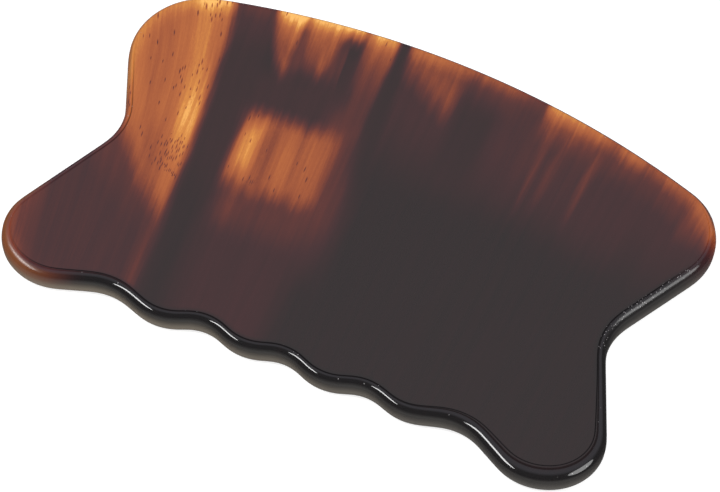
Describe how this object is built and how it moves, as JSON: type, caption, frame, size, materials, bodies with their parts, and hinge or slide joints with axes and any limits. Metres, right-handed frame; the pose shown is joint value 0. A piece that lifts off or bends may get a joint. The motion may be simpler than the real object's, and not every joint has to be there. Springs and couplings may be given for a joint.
{
  "type": "gua sha scraper",
  "caption": "Flat hand-held massage plate of polished horn with an arched back, hollow ends, rounded lobes and a wavy comb edge.",
  "frame": {"origin": "under the middle of the plate's box, on the surface the plate lies on", "axes": "+X along the plate, +Y from the comb edge to the arched back, +Z out of the upper flat face"},
  "size_m": [0.1102, 0.0718, 0.0045],
  "materials": {
    "horn": "polished natural horn, near black with red-brown and amber streaks across the plate"
  },
  "bodies": {
    "root": {"horn_plate": "horn"}
  },
  "joints": []
}
